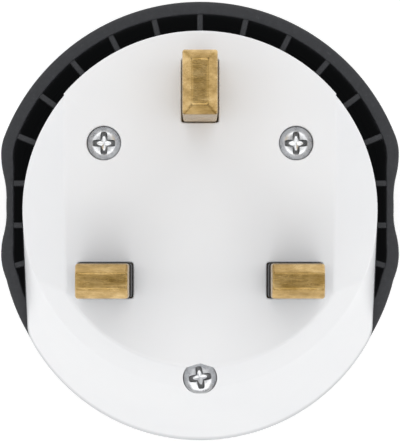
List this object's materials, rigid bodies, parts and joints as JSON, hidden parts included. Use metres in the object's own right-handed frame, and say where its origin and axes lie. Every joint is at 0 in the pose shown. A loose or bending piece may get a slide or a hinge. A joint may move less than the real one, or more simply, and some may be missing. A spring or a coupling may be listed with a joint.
{
  "type": "travel adapter",
  "caption": "Round travel adapter: a plug base with flat rectangular pins in front of a ribbed housing with a deep round earthed socket.",
  "frame": {"origin": "on the axis of the round socket recess, in the plane of its rim", "axes": "+Z along the plug pins, out of the plug face; +Y towards the earth pin; +X to the right when the plug face is seen with the earth pin on top"},
  "size_m": [0.0484, 0.0533, 0.0647],
  "materials": {
    "housing_plastic": "finely textured black",
    "base_plastic": "satin white",
    "carrier_plastic": "natural",
    "pin_brass": "machined, lightly scratched",
    "sleeve_plastic": "smooth black",
    "contact_brass": "rolled strip",
    "fuse_ceramic": "glazed white",
    "fuse_cap_metal": "plated",
    "screw_steel": "zinc plated"
  },
  "bodies": {
    "root": {"socket_housing": "housing_plastic", "plug_base": "base_plastic", "contact_carrier": "carrier_plastic", "live_pin": "pin_brass", "neutral_pin": "pin_brass", "earth_pin": "pin_brass", "live_pin_sleeve": "sleeve_plastic", "neutral_pin_sleeve": "sleeve_plastic", "live_contact": "contact_brass", "neutral_contact": "contact_brass", "earth_spring": "contact_brass", "earth_link": "contact_brass", "fuse_tube": "fuse_ceramic", "fuse_cap_supply": "fuse_cap_metal", "fuse_cap_load": "fuse_cap_metal", "fuse_clip_supply": "contact_brass", "fuse_clip_load": "contact_brass", "case_screw_left": "screw_steel", "case_screw_right": "screw_steel", "case_screw_lower": "screw_steel"}
  },
  "joints": []
}
